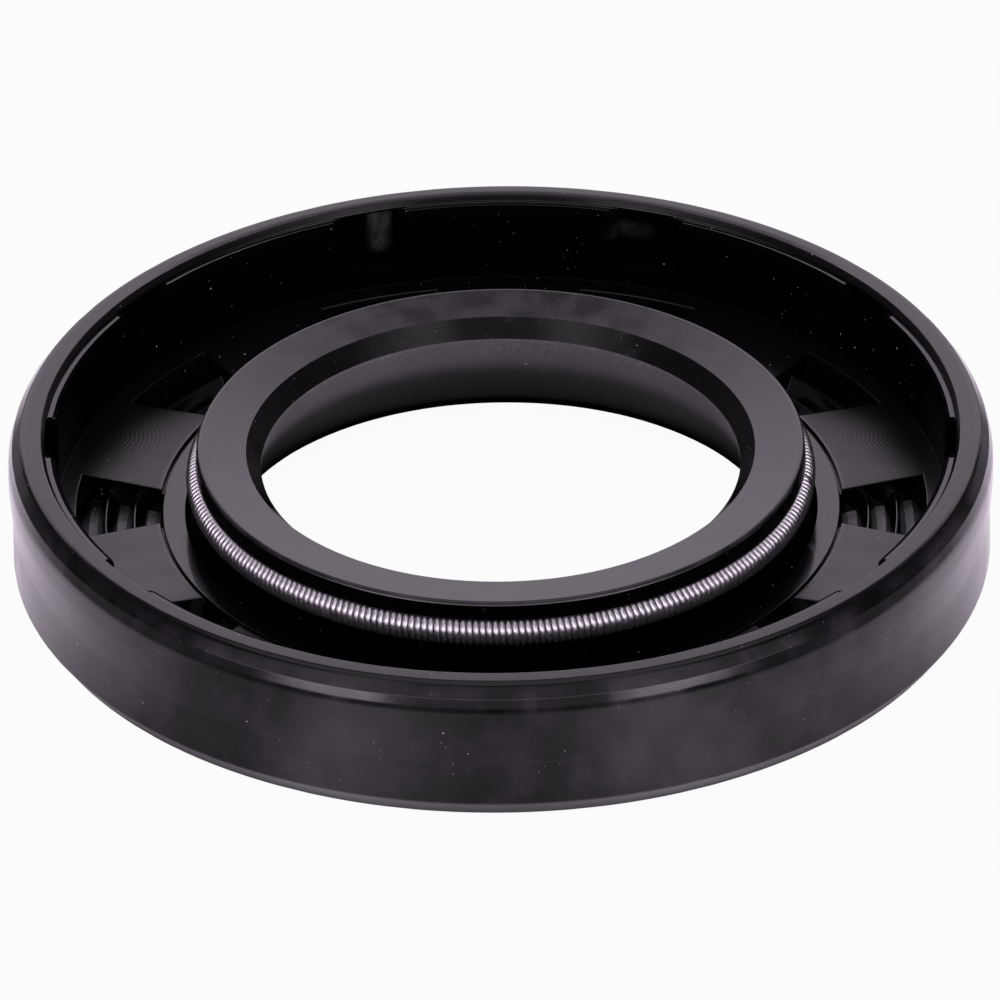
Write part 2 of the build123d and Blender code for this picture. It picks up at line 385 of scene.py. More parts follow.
class Section:
    """Radii and heights of the moulding, and its three matching section lines."""

    def __init__(self, cover, trough, lip, coil_diameter):
        self.cover, self.trough, self.lip = cover, trough, lip
        self.floor_z = trough.floor_height
        self.ledge_z = WIDTH - trough.ledge_drop
        self.ledge_out_r = CASE_R - trough.wall_set_back
        self.ledge_in_r = self.ledge_out_r - trough.ledge_width
        self.floor_out_r = self.ledge_in_r - trough.wall_draft
        self.coil_r = COIL_OUTER_R - coil_diameter / 2
        self.groove_r = coil_diameter / 2 + lip.groove_clearance
        self.collar_in_r = self.coil_r + trough.collar_gap
        self.collar_out_r = self.collar_in_r + trough.collar_width
        self.collar_z = self.floor_z - trough.collar_step
        self.pocket_out_r = self.floor_out_r - trough.pocket_margin
        self.valley_z = self.floor_z - trough.pocket_depth
        self.lip_z = self.floor_z + lip.lip_rise
        self.bevel_z = self.lip_z + lip.bevel_rise

    def wall_radius(self, height):
        """Inner wall, straight from the ledge to the floor."""
        fall = (self.ledge_z - height) / (self.ledge_z - self.floor_z)
        return self.ledge_in_r - self.trough.wall_draft * fall

    def cover_line(self):
        """From the back face up the outside, over the rim and down to the pockets' end."""
        cover, trough = self.cover, self.trough
        guide_r = LAND_R - cover.press_grip
        crest_r = LAND_R - cover.crest_inset
        land_top = WIDTH - cover.land_drop
        land_foot = land_top - cover.land_length
        notch_foot = self.floor_z + trough.notch_foot
        notch_top = notch_foot + trough.notch_ramp
        soft, crisp = cover.soft_edge, cover.crisp_edge
        return rounded(
            [
                (self.collar_out_r, 0.0),
                (guide_r - cover.lead_depth, 0.0, soft),
                (guide_r, cover.lead_height, soft),
                (guide_r, land_foot - cover.land_ramp, cover.land_blend),
                (LAND_R, land_foot, cover.land_blend),
                (LAND_R, land_top, cover.land_shoulder),
                (crest_r, WIDTH - cover.rim_chamfer_drop, cover.crest_round),
                (crest_r - cover.rim_chamfer_run, WIDTH - cover.rim_fall, cover.rim_round),
                (self.ledge_out_r + trough.rim_bevel_run, WIDTH, trough.rim_edge),
                (self.ledge_out_r, WIDTH - trough.rim_bevel_drop, crisp),
                (self.ledge_out_r, self.ledge_z, crisp),
                (self.ledge_in_r, self.ledge_z, trough.ledge_round),
                (self.wall_radius(notch_top), notch_top),
                (self.wall_radius(notch_foot), notch_foot),
                (self.floor_out_r, self.floor_z, trough.floor_fillet),
                (self.pocket_out_r + trough.rib_edge, self.floor_z),
            ]
        )

    def notch_line(self, line):
        """The same stations, with the ledge and the wall below it cut back to the notch."""
        trough = self.trough
        radius, height = line[:, 0], line[:, 1]
        inward = (self.ledge_out_r - radius) / trough.ledge_width
        on_wall = (inward > 0) & (height > self.floor_z + trough.notch_foot)
        climb = (height - self.floor_z - trough.notch_foot) / trough.notch_ramp
        depth = np.clip(climb, 0, 1) * on_wall
        spread = np.where(on_wall, np.clip(inward, 0, 1), 0) * self.cover.crisp_edge
        cut = line.copy()
        cut[:, 0] += (self.ledge_out_r - radius) * depth
        cut[:, 1] -= spread * (height > self.ledge_z - 2 * self.cover.crisp_edge)
        return cut

    def comb_line(self):
        """Pocket floor, from the outer end slope over the ribs to the collar's flank."""
        trough = self.trough
        edge = trough.rib_edge
        zone = self.pocket_out_r - trough.pocket_end - self.collar_out_r
        corners = [
            (self.pocket_out_r + edge, self.floor_z),
            (self.pocket_out_r, self.floor_z, edge),
            (self.pocket_out_r - trough.pocket_end, self.valley_z, edge),
        ]
        for rib in range(int(zone / trough.rib_pitch), 0, -1):
            crest = self.collar_out_r + rib * trough.rib_pitch
            corners.append((crest + trough.rib_fall, self.valley_z, edge))
            corners.append((crest, self.valley_z + trough.rib_height, edge))
            corners.append((crest - trough.rib_rise, self.valley_z, edge))
        corners.append((self.collar_out_r + trough.rib_fall, self.valley_z, edge))
        corners.append((self.collar_out_r, self.collar_z))
        return rounded(corners, 4)

    def split_line(self):
        """From the pads down and up again through the narrow groove round the collar."""
        trough = self.trough
        edge = trough.split_width / 4
        outer = self.collar_out_r + trough.split_width
        bottom = self.floor_z - trough.split_depth
        return rounded(
            [
                (outer + 2 * edge, self.floor_z),
                (outer, self.floor_z, edge),
                (outer, bottom),
                (self.collar_out_r, bottom),
                (self.collar_out_r, self.collar_z, edge),
                (self.collar_out_r - 2 * edge, self.collar_z),
            ],
            3,
        )

    def lip_line(self):
        """From the collar down into the neck, round the groove, over the head and down."""
        trough, lip = self.trough, self.lip
        crisp = self.cover.crisp_edge
        groove_points = 29
        centre = np.array([self.coil_r, COIL_Z])
        sweep = np.linspace(-lip.lower_horn, lip.upper_horn - FULL_TURN, groove_points)
        groove = centre + self.groove_r * np.stack([np.cos(sweep), np.sin(sweep)], -1)
        neck_r = self.coil_r - lip.neck_depth
        sunk_z = self.collar_z - lip.neck_sink
        head_r = self.coil_r + lip.head_overhang
        band_z = self.lip_z - lip.lip_band
        throat_r = LIP_R + (band_z - lip.mouth_height) * math.tan(lip.air_angle)
        foot = rounded(
            [
                (self.collar_out_r - trough.split_width / 2, self.collar_z),
                (self.collar_in_r, self.collar_z, trough.collar_edge),
                (self.collar_in_r - trough.collar_edge, sunk_z, lip.neck_round),
                (neck_r, sunk_z, lip.neck_round),
                (neck_r, groove[0, 1] - lip.neck_round, lip.neck_round),
                (*groove[0], crisp),
                tuple(groove[1]),
            ]
        )
        head = rounded(
            [
                tuple(groove[-2]),
                (*groove[-1], crisp),
                (head_r, self.bevel_z + lip.head_crown, lip.head_round),
                (LIP_R + lip.bevel_run, self.bevel_z, 1.5 * crisp),
                (LIP_R, self.lip_z, crisp / 2),
                (LIP_R, band_z, crisp / 2),
                (throat_r, lip.mouth_height, lip.mouth_round),
                (throat_r + lip.mouth_flare, 0.0, 2 * crisp),
                (self.collar_out_r, 0.0),
            ]
        )
        return np.concatenate([foot, groove[2:-2], head[:-1]])

    def lines(self):
        """Pad, pocket and notch sections, station by station.

        The three agree everywhere but in the floor's pockets and the wall's notches.
        """
        cover = self.cover_line()
        comb = self.comb_line()[1:]
        split = self.split_line()
        flat = np.stack([comb[:, 0], np.full(len(comb), self.floor_z)], -1)
        flank = comb[-2] + np.linspace(0, 1, len(split) + 1)[1:, None] * (comb[-1] - comb[-2])
        lip = self.lip_line()
        pad = np.concatenate([cover, flat[:-1], split, lip])
        pocket = np.concatenate([cover, comb[:-1], flank, lip])
        notch = np.concatenate([self.notch_line(cover), flat[:-1], split, lip])
        return pad, pocket, notch

    def zones(self, mesh):
        """Material of each face, by the radius and height of its middle."""
        middle = np.zeros(len(mesh.polygons) * 3, np.float32)
        mesh.polygons.foreach_get("center", middle)
        middle = middle.reshape(-1, 3)
        radius = np.hypot(middle[:, 0], middle[:, 1])
        height = middle[:, 2]
        hair = MM / 100
        over_coil = COIL_Z + self.groove_r * math.sin(self.lip.upper_horn)
        head = (radius < self.coil_r + self.lip.head_overhang) & (height > over_coil)
        bevel = head & (radius < LIP_R + self.lip.bevel_run) & (height > self.lip_z)
        air = (height <= self.lip_z) & (height > hair) & (radius < self.coil_r - self.groove_r)
        air |= (height < self.lip.mouth_height) & (height > hair) & (radius < self.coil_r)
        # The deep black wall material reaches over the floor fillet and the neck: painted shade
        # that hides the fillet's highlight and darkens the neck under the coil.
        wall = (radius > self.floor_out_r - self.trough.floor_fillet) & (height < self.ledge_z)
        wall &= (radius < self.ledge_out_r + hair) & (height > self.floor_z + hair)
        neck = (radius < self.collar_in_r) & (height < over_coil) & ~air & ~head
        neck &= height > self.valley_z
        pocket = (radius > self.collar_out_r) & (radius < self.pocket_out_r)
        pocket &= (height < self.floor_z - self.trough.split_depth - hair) & (height > hair)
        choices = [head & ~bevel, bevel, air, wall | neck, pocket]
        return np.select(choices, [1, 2, 3, 4, 5], 0).astype(np.int32)


def sector_lines(trough):
    """Lines that run across one sector, from one pad's middle to the next.

    Each is (kind, side, place, depth): a middle line has an angle as its place, a pad line
    has its share of the way from the pocket's side to the pad's middle, and a side line has
    its distance outwards from the side. A negative depth counts from the bottom of the cut,
    so the side lines round the edge over and fillet the foot. A notch's side starts as a
    round corner of the ledge: at the distance t from its end, the corner of radius R has
    gone back by R - sqrt(R * R - (R - t) * (R - t)).
    """
    edge = trough.pad_edge
    side = [
        (edge, 0.0),
        (edge * 0.45, edge * 0.12),
        (edge * 0.12, edge * 0.45),
        (edge * 0.02, edge),
        (-edge * 0.02, -edge),
        (-edge * 0.45, -edge * 0.3),
        (-edge, -edge * 0.001),
    ]
    swing = np.radians([0, 12, 25, 40, 55, 70, 82, 90])
    corner = np.stack([1 - np.sin(swing), 1 - np.cos(swing)], -1) * trough.ledge_corner
    foot = side[-3:]
    half = [("pad", 1, place, 0.0) for place in (1.0, 0.75, 0.5, 0.25, 0.08)]
    half += [("pocket", 1, place, depth) for place, depth in side]
    half += [("notch", 1, place, depth) for place, depth in (*corner, *foot)]
    half += [("middle", 1, place, 0.0) for place in radians(2.6, 1.3)]
    other = [(kind, -1, place, depth) for kind, _, place, depth in half[1:]]
    return other + [("middle", 1, 0.0, 0.0)] + half[::-1]


def moulding_points(section):
    """Closed surface of the moulding as a grid of stations by lines.

    A point starts on the pad section and moves towards the pocket or notch section by a
    share: 0 on the pads, 1 inside the cut, and depth over the local depth on its rounded
    sides. A pocket's side is a straight line, so at radius r it stands at the angle
    flare - asin((collar * tan(flare) - mouth / 2) * cos(flare) / r) from the middle.
    """
    trough = section.trough
    pad, pocket, notch = section.lines()
    lines = sector_lines(trough)
    kind = np.array([line[0] for line in lines])
    side = np.array([line[1] for line in lines], float)
    place = np.array([line[2] for line in lines])
    depth = np.array([line[3] for line in lines])

    def shares(cut, own, inner, most, least_span=1e-9, foot_share=0.1):
        """Share of each point in one cut, where a rounding takes at most a given share."""
        span = np.linalg.norm(cut - pad, axis=1)[:, None]
        part = np.minimum(np.abs(depth) / np.maximum(span, least_span), most)
        part = np.where(depth < 0, 1 - np.minimum(part, foot_share), part)
        return np.where(kind == own, part, np.isin(kind, inner).astype(float))

    to_pocket = shares(pocket, "pocket", ["notch", "middle"], most=0.5)
    to_notch = shares(notch, "notch", ["middle"], most=0.85)
    spot = pad[:, None] + to_pocket[..., None] * (pocket - pad)[:, None]
    spot += to_notch[..., None] * (notch - pad)[:, None]
    radius, height = spot[..., 0], spot[..., 1]

    flare = trough.pocket_flare
    offset = (section.collar_out_r * math.tan(flare) - trough.pocket_mouth / 2) * math.cos(flare)
    held = np.clip(radius, section.collar_out_r, section.floor_out_r)
    pocket_turn = flare - np.arcsin(offset / held)
    notch_turn = math.asin(trough.notch_width / 2 / section.ledge_in_r)
    sector = FULL_TURN / trough.pocket_count
    turn = np.select(
        [kind == "pad", kind == "pocket", kind == "notch"],
        [
            pocket_turn + place * (sector / 2 - pocket_turn),
            pocket_turn + place / radius,
            notch_turn + place / section.ledge_in_r,
        ],
        place + 0 * radius,
    )
    turn = turn * side + trough.pocket_start
    turn = np.concatenate([turn + number * sector for number in range(trough.pocket_count)], 1)
    radius = np.tile(radius, trough.pocket_count)
    height = np.tile(height, trough.pocket_count)
    return np.stack([radius * np.cos(turn), radius * np.sin(turn), height], -1)


def spring_points(sizes):
    """Wire of the garter spring as a grid of points along it by points round it.

    The wire's centre runs round a ring of radius R while it winds round the coil's own
    circle of radius c: (R + c cos w) outwards and c sin w upwards, with w falling by a full
    turn for each pitch. Round the wire, the offset is its radius times
    (cos b * away from the coil's centre - sin b * along the coil). Both ends of the wire
    taper almost to a point over a few steps.
    """
    per_turn, round_wire, taper_steps, least_taper = 18, 8, 3, 1e-3
    coil_r = COIL_OUTER_R - sizes.coil_diameter / 2
    wire_r = sizes.wire_diameter / 2
    open_length = FULL_TURN * coil_r - sizes.join_gap
    turns = round(open_length / sizes.pitch)
    t = np.linspace(0, 1, turns * per_turn + 1)
    start = sizes.join_angle + sizes.join_gap / 2 / coil_r
    ring = start + t * open_length / coil_r
    wind = -t * turns * FULL_TURN
    up = np.array([0, 0, 1.0])
    winding_r = sizes.coil_diameter / 2 - wire_r
    radial = np.stack([np.cos(ring), np.sin(ring), 0 * ring], -1)
    along = np.stack([-np.sin(ring), np.cos(ring), 0 * ring], -1)
    away = radial * np.cos(wind)[:, None] + up * np.sin(wind)[:, None]
    centre = radial * coil_r + away * winding_r + up * COIL_Z
    beta = np.linspace(0, FULL_TURN, round_wire, endpoint=False)
    offset = away[:, None] * np.cos(beta)[:, None] - along[:, None] * np.sin(beta)[:, None]
    taper = np.sqrt(np.clip(np.minimum(t, 1 - t) * turns * per_turn / taper_steps, 0, 1))
    return centre[:, None] + wire_r * np.maximum(taper, least_taper)[:, None, None] * offset


# Shader maths


def maths(operation, reflected=False):
    """Method of Signal that adds one Math node, for a reflected form with its sides swapped."""

    def method(self, other):
        sides = (other, self) if reflected else (self, other)
        return self.sheet.math(operation, *sides)

    return method


class Signal:
    """A shader socket that takes part in Python arithmetic."""

    def __init__(self, sheet, socket):
        self.sheet, self.socket = sheet, socket

    __add__ = maths("ADD")
    __radd__ = maths("ADD", reflected=True)
    __sub__ = maths("SUBTRACT")
    __rsub__ = maths("SUBTRACT", reflected=True)
    __mul__ = maths("MULTIPLY")
    __rmul__ = maths("MULTIPLY", reflected=True)
    __gt__ = maths("GREATER_THAN")
    __lt__ = maths("LESS_THAN")
    greater = maths("MAXIMUM")
    heading = maths("ARCTAN2")

    def ramp(self, low, high):
        """0 below low, 1 above high, smooth between them; low may be above high."""
        inputs = {"Value": self, "From Min": low, "From Max": high}
        settings = {"interpolation_type": "SMOOTHSTEP", "clamp": True}
        return self.sheet.node("ShaderNodeMapRange", settings, inputs)

    def under(self, level, soft):
        """1 below a level and 0 above it, fading over soft to both sides."""
        return self.ramp(level + soft, level - soft)

    def band(self, low, high, soft):
        """1 between low and high, fading over soft outside them."""
        return self.ramp(low - soft, low) * self.ramp(high + soft, high)


class NodeSheet:
    """Empty node tree with short ways to add nodes."""

    def __init__(self, owner):
        owner.use_nodes = True
        self.tree = owner.node_tree
        self.tree.nodes.clear()

    def node(self, kind, settings=None, inputs=None, output=0):
        """New node: settings first, then the values or links of its inputs."""
        node = self.tree.nodes.new(kind)
        for key, value in (settings or {}).items():
            setattr(node, key, value)
        for key, value in (inputs or {}).items():
            self.feed(node.inputs[key], value)
        return Signal(self, node.outputs[output])

    def outputs(self, signal, *names):
        """Named outputs of the node that a signal comes from."""
        sockets = signal.socket.node.outputs
        return [Signal(self, sockets[name]) for name in names]

    def feed(self, socket, value):
        """Link a signal to a socket, or set a plain value on it, with a colour opaque."""
        if isinstance(value, Signal):
            self.tree.links.new(value.socket, socket)
        elif socket.type == "RGBA":
            socket.default_value = (*value, 1.0)
        else:
            socket.default_value = value

    def math(self, operation, *values):
        """Math node on signals and numbers."""
        settings = {"operation": operation}
        return self.node("ShaderNodeMath", settings, dict(enumerate(values)))

    def mix(self, factor, first, second):
        """Colour from first to second."""
        inputs = {0: factor, 6: first, 7: second}
        return self.node("ShaderNodeMix", {"data_type": "RGBA"}, inputs, output=2)

    def axes(self, vector):
        """The three parts of a vector."""
        parts = self.node("ShaderNodeSeparateXYZ", inputs={"Vector": vector})
        return self.outputs(parts, "X", "Y", "Z")

    def rays(self):
        """Whether the camera sees the point, and whether a mirroring surface does."""
        path = self.node("ShaderNodeLightPath")
        return self.outputs(path, "Is Camera Ray", "Is Glossy Ray")


class Sheet(NodeSheet):
    """Node tree of one material, with its place in millimetres and its Principled shader."""

    def __init__(self, name):
        self.material = bpy.data.materials.new(name)
        super().__init__(self.material)
        self.shader = self.tree.nodes.new("ShaderNodeBsdfPrincipled")
        self.output = self.tree.nodes.new("ShaderNodeOutputMaterial")
        self.tree.links.new(self.shader.outputs["BSDF"], self.output.inputs["Surface"])
        place = self.node("ShaderNodeTexCoord", output="Object")
        inputs = {"Vector": place, "Scale": 1 / MM}
        self.place = self.node("ShaderNodeVectorMath", {"operation": "SCALE"}, inputs)
        self.x, self.y, self.z = self.axes(self.place)
        self.radius = self.math("SQRT", self.x * self.x + self.y * self.y)
        self.turn = self.y.heading(self.x)

    def stretch(self, x, y, z, operation="MULTIPLY"):
        """The place scaled along each axis, or moved with the operation ADD."""
        inputs = {0: self.place, 1: (x, y, z)}
        return self.node("ShaderNodeVectorMath", {"operation": operation}, inputs)

    def shift(self, distance):
        """The place moved by the same distance along each axis."""
        return self.stretch(distance, distance, distance, "ADD")

    def noise(self, scale, detail=2.0, vector=None, roughness=0.5):
        """Noise with so many cells a millimetre."""
        inputs = {"Vector": vector or self.place, "Scale": scale}
        inputs.update({"Detail": detail, "Roughness": roughness})
        return self.node("ShaderNodeTexNoise", {"noise_dimensions": "3D"}, inputs)

    def wave(self, kind, distance, pitch):
        """Sine or cosine of a distance in millimetres, brought between 0 and 1."""
        return self.math(kind, distance * (FULL_TURN * MM / pitch)) * 0.5 + 0.5

    def specks(self, cells, size, amount, seed):
        """Mask of small round specks: one in each chosen cell, of a random size."""
        settings = {"voronoi_dimensions": "3D", "feature": "F1"}
        inputs = {"Vector": self.shift(seed), "Scale": cells}
        found = self.node("ShaderNodeTexVoronoi", settings, inputs)
        distance, tone = self.outputs(found, "Distance", "Color")
        draws = self.node("ShaderNodeSeparateColor", inputs={"Color": tone})
        pick, width = self.outputs(draws, "Red", "Green")
        reach = (width * width + SMALLEST_SPECK) * (size * cells)
        return distance.ramp(reach, reach * SPECK_CORE) * (pick < amount)

    def loose_dust(self, where, seed):
        """Mask of dust: fine and coarse specks that gather in patches."""
        patch = self.noise(0.22, 3.0, self.shift(seed)).ramp(0.42, 0.66) * where
        coarse = self.specks(0.9, 0.085, patch * 0.8 + SPARSE, seed)
        fine = self.specks(2.4, 0.038, patch * 0.9 + SPARSE, seed + FINE_SEED)
        return coarse.greater(fine)

    def bump(self, height, distance, strength=1.0, normal=None):
        """Normal of a relief whose height signal runs from 0 to 1."""
        inputs = {"Height": height, "Distance": distance, "Strength": strength}
        if normal is not None:
            inputs["Normal"] = normal
        return self.node("ShaderNodeBump", inputs=inputs)

    def finish(self, **sockets):
        """Feed the Principled shader, where an underscore in a name is a space."""
        for key, value in sockets.items():
            self.feed(self.shader.inputs[key.replace("_", " ")], value)
        return self.material

    def rubber(self, looks, dust, tone, roughness, normal, **sockets):
        """Rubber under loose dust, which covers its colour and takes its gloss."""
        sockets.setdefault("IOR", looks.index)
        return self.finish(
            Base_Color=self.mix(dust, tone, looks.dust),
            Roughness=roughness.greater(dust * DUST_ROUGHNESS),
            Normal=normal,
            **sockets,
        )


# Materials: places and scales are in millimetres, and each mask runs from 0 to 1


def pad_relief(sheet, looks, trough):
    """Fine rings round a point at the wall, a slow ripple, and the mask of the pads."""
    sector = FULL_TURN / trough.pocket_count
    pad_turn = sheet.math("PINGPONG", sheet.turn - trough.pocket_start, sector / 2) - sector / 2
    outward = sheet.radius * sheet.math("COSINE", pad_turn) - looks.ring_centre / MM
    across = sheet.radius * sheet.math("SINE", pad_turn)
    reach = sheet.math("SQRT", outward * outward + across * across)
    wander = sheet.noise(0.5) * 0.35
    rings = sheet.wave("SINE", reach + wander, looks.tool_pitch)
    worn = sheet.noise(0.9, 3.0, sheet.shift(31.0)).ramp(0.2, 0.6) * 0.6 + 0.4
    worn = worn * (sheet.y.ramp(-3.0, 2.0) * 0.6 + 0.4)
    rings = rings * worn * reach.ramp(1.0, 2.5)
    ripple = sheet.wave("COSINE", across, looks.ripple_pitch)
    floor_z, hair = trough.floor_height / MM, 0.01
    pads = sheet.z.band(floor_z - hair, floor_z + hair, hair)
    pads = pads * sheet.radius.ramp(21.7, 22.0)
    return rings * pads, ripple * pads, pads


def moulded_skin(looks, trough):
    """Glossy moulded rubber: rings on the pads, a dusty rim, smears, a dull foot and a painted
    sheen that lightens the outer wall towards +X.
    """
    sheet = Sheet("rubber_moulded_skin")
    rings, ripple, pads = pad_relief(sheet, looks, trough)
    smear = sheet.noise(0.38, 5.0, sheet.stretch(1.0, 1.0, 0.8))
    grain = sheet.noise(14.0, 3.0)
    cloud = smear.ramp(0.35, 0.75)
    outside = sheet.radius.ramp(30.3, 30.9)
    rim = sheet.z.ramp(9.45, 9.75)
    foot = sheet.z.band(0.06, 1.0, 0.3) * sheet.radius.ramp(27.0, 28.5)
    # Painted light: the outer wall's extra film towards +X is a painted sheen for the brighter
    # surroundings on that side.
    lit_side_sheen = sheet.x.ramp(-14.0, 24.0) * outside
    # This film is partly random mottling and dust, and partly the painted sheen on the outer
    # wall's +X side.
    film_and_sheen = cloud * (lit_side_sheen * 0.4 + outside * 0.9) + foot * 0.5
    film_and_sheen = film_and_sheen + pads * sheet.y.ramp(2.0, -3.0) * 0.9
    film_and_sheen = film_and_sheen + sheet.noise(7.0, 4.0).ramp(0.5, 0.8) * rim * 0.5
    tone = sheet.mix(film_and_sheen, looks.black, looks.film)
    tone = sheet.mix(foot * 0.28, tone, looks.dust)
    sag = sheet.turn.band(*radians(52, 128), 0.25) * rim
    sag = sag * sheet.radius.ramp(29.0, 29.75)
    normal = sheet.bump(grain, 0.0006 * MM)
    for relief, depth in (
        (smear, 0.014 * MM),
        (sag, looks.rim_sag),
        (rings, looks.ring_height),
        (ripple, looks.ripple_height),
    ):
        normal = sheet.bump(relief, depth, normal=normal)
    rough = cloud * outside * 0.1 + rim * 0.05 + foot * 0.25 + pads * 0.17 + looks.gloss
    dust = sheet.loose_dust(outside * 0.5 + 0.3, 3.0)
    return sheet.rubber(looks, dust, tone, rough, normal)


def trough_wall(looks):
    """Deep black skin of the inner wall and the neck, whose reflection is turned almost off as
    painted shade, with loose dust and two scuffs.
    """
    sheet = Sheet("rubber_trough_wall")
    streak = sheet.noise(0.8, 5.0, sheet.stretch(1.3, 1.3, 0.7), 0.6)
    scuff = sheet.turn.band(*radians(104.7, 105.7), 0.025)
    scuff = scuff * sheet.z.band(7.4, 8.9, 1.2) * streak.ramp(0.2, 0.9)
    rub = sheet.turn.band(*radians(72, 74), 0.05)
    rub = rub * sheet.z.band(7.8, 8.2, 0.6) * streak.ramp(0.2, 0.9)
    marks = (scuff * 0.18).greater(rub * 0.05)
    tone = sheet.mix(marks, looks.black, looks.dust)
    normal = sheet.bump(streak, 0.0015 * MM)
    # Painted shade: the reflection is turned almost off so that the wall and the neck stay deep
    # black.
    dull = {"IOR": 1.08, "Specular_IOR_Level": 0.06}
    return sheet.rubber(looks, sheet.loose_dust(1.0, 23.0), tone, marks + 0.2, normal, **dull)


def pocket_floor(looks):
    """Ribs and valleys of the pockets, with pale dust lying on what is level."""
    sheet = Sheet("rubber_pocket_floor")
    speckle = sheet.noise(2.4, 3.0)
    lying = sheet.z.ramp(2.54, 2.46) * (speckle.ramp(0.2, 0.8) * 0.5 + 0.5)
    lying = lying * sheet.y.ramp(4.0, 0.5)
    tone = sheet.mix(lying * 0.4, looks.black, looks.dust)
    normal = sheet.bump(speckle, 0.002 * MM)
    rough = lying * 0.6 + looks.gloss
    return sheet.rubber(looks, sheet.loose_dust(0.8, 41.0), tone, rough, normal)


def trimmed_face(looks):
    """Duller rubber on the head of the lip, with faint turning lines and stains."""
    sheet = Sheet("rubber_trimmed_face")
    polar = {0: sheet.radius * 9.0, 1: sheet.turn * 2.0, 2: 0.0}
    lines = sheet.noise(1.0, 3.0, sheet.node("ShaderNodeCombineXYZ", inputs=polar))
    stain = sheet.noise(0.5, 4.0).ramp(0.3, 0.8)
    tone = sheet.mix(stain, looks.black, looks.film)
    dish = sheet.turn.band(*radians(80, 100), 0.6)
    dish = dish * sheet.radius.ramp(15.5, 20.5)
    normal = sheet.bump(dish, looks.head_dish)
    normal = sheet.bump(lines, 0.0012 * MM, normal=normal)
    rough = stain * 0.08 + lines * 0.05 + 0.22
    dust = sheet.loose_dust(0.4, 5.0)
    return sheet.rubber(looks, dust, tone, rough, normal, IOR=looks.head_index)


def oil_bevel(looks):
    """Clean black bevel between the head and the sealing edge, with scattered dust."""
    sheet = Sheet("rubber_oil_bevel")
    smear = sheet.noise(0.8, 5.0)
    stain = smear.ramp(0.45, 0.75)
    speckle = sheet.noise(6.0, 5.0, roughness=0.7)
    back = sheet.y.ramp(9.0, 14.0) * speckle.ramp(0.52, 0.72)
    tone = sheet.mix(back * stain * 0.12, looks.black, looks.dust)
    normal = sheet.bump(smear, 0.006 * MM)
    return sheet.rubber(looks, sheet.loose_dust(0.8, 9.0), tone, stain * 0.1 + 0.2, normal)


def air_side(looks):
    """Matt rubber below the sealing edge, with dust specks and a pale band under it that grows
    paler towards -X.
    """
    sheet = Sheet("rubber_air_side")
    speckle = sheet.noise(5.0, 6.0, roughness=0.75)
    cloud = sheet.noise(0.4, 4.0)
    under_edge = sheet.z.ramp(4.6, 7.0)
    grains = speckle.ramp(0.5, 0.72) * cloud.ramp(0.3, 0.6) * under_edge
    veil = sheet.z.ramp(2.4, 7.2) * (cloud * 0.6 + 0.4)
    pale_band = sheet.z.ramp(4.2, 5.8) * (sheet.x.ramp(4.0, -12.0) * 0.08 + 0.09)
    tone = sheet.mix(veil, looks.black, looks.film)
    tone = sheet.mix(pale_band, tone, looks.dust)
    tone = sheet.mix(grains * 0.4, tone, looks.dust)
    normal = sheet.bump(speckle, 0.004 * MM)
    dust = sheet.loose_dust(under_edge, 15.0)
    return sheet.rubber(looks, dust, tone, veil * 0.25 + 0.25, normal)


def drawn_wire(sizes):
    """Bright drawn wire with faint die lines and a trace of oil."""
    sheet = Sheet("spring_drawn_wire")
    lines = sheet.noise(6.0, 3.0)
    oil_tone = 0.85
    oiled = [part * oil_tone for part in sizes.steel]
    return sheet.finish(
        Base_Color=sheet.mix(lines, oiled, sizes.steel),
        Metallic=1.0,
        Roughness=lines.ramp(0.3, 0.7) * 0.06 + sizes.roughness,
        Normal=sheet.bump(lines, 0.0002 * MM),
    )


def bonded_steel():
    """Case steel under its bonding coat, which only a cut seal would show."""
    sheet = Sheet("case_bonded_steel")
    cloud = sheet.noise(1.2, 4.0)
    dark_coat, pale_coat = (0.30, 0.30, 0.31), (0.45, 0.45, 0.46)
    return sheet.finish(
        Base_Color=sheet.mix(cloud, dark_coat, pale_coat),
        Metallic=0.9,
        Roughness=cloud * 0.2 + 0.35,
        Normal=sheet.bump(cloud, 0.002 * MM),
    )


# Floor, surroundings, lamps and camera: a turn is measured from straight behind the seal


def floor_level(sheet):
    """How bright the floor looks in the rubber.

    It is full behind, plain at the sides, brighter beside the two lamps and darker in front
    and to the near left. It also falls off away from the seal and inside the bore.
    """
    plain, far_level, bore_rim, bore_middle = 0.58, 0.25, 0.15, 0.75
    turn = sheet.x.heading(sheet.y)
    side = sheet.math("ABSOLUTE", turn)
    behind = side.ramp(*radians(130, 95)) * 0.42
    lobes = side.band(*radians(154, 160, 10)) * 0.27
    front = side.ramp(*radians(165, 178)) * 0.22
    left = turn.band(*radians(-146, -134, 12)) * 0.24
    around = behind + lobes + plain - front - left
    around = around * (sheet.radius.ramp(31.5, 35.0) * 0.2 + 0.8)
    around = around * (sheet.radius.ramp(62.0, 46.0) * (1 - far_level) + far_level)
    around = around * sheet.radius.ramp(30.0, 31.0)
    inside = sheet.radius.ramp(17.0, 16.2) * bore_rim
    inside = inside + sheet.radius.ramp(15.4, 11.4) * bore_middle
    return around.greater(inside)


